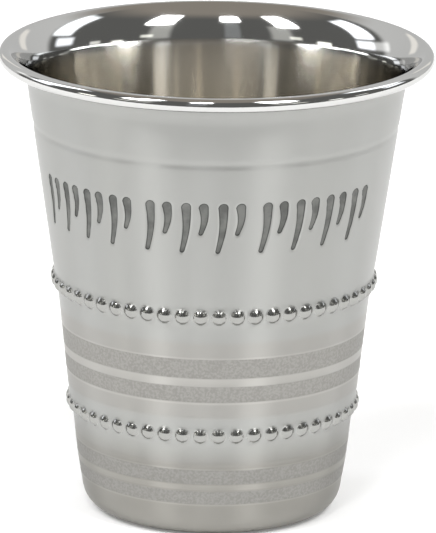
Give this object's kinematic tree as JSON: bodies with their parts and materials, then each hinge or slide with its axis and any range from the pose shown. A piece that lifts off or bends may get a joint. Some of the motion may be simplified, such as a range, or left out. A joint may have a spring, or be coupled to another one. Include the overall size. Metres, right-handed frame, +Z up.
{
  "type": "kiddush cup",
  "caption": "Tumbler-shaped kiddush cup of polished stainless steel, with a flared lip, beaded rings, matte bands and shallow cut strokes, for drinking the blessing wine.",
  "frame": {"origin": "on the standing plane, on the cup's axis", "axes": "+Z up along the cup's axis, -Y towards the front with the cut strokes, +X to the right seen from the front"},
  "size_m": [0.0738, 0.074, 0.08],
  "materials": {
    "steel": "mirror polished inside, polished outside, with matte frosted bands and dark matte strokes"
  },
  "bodies": {
    "root": {"cup": "steel"}
  },
  "joints": []
}
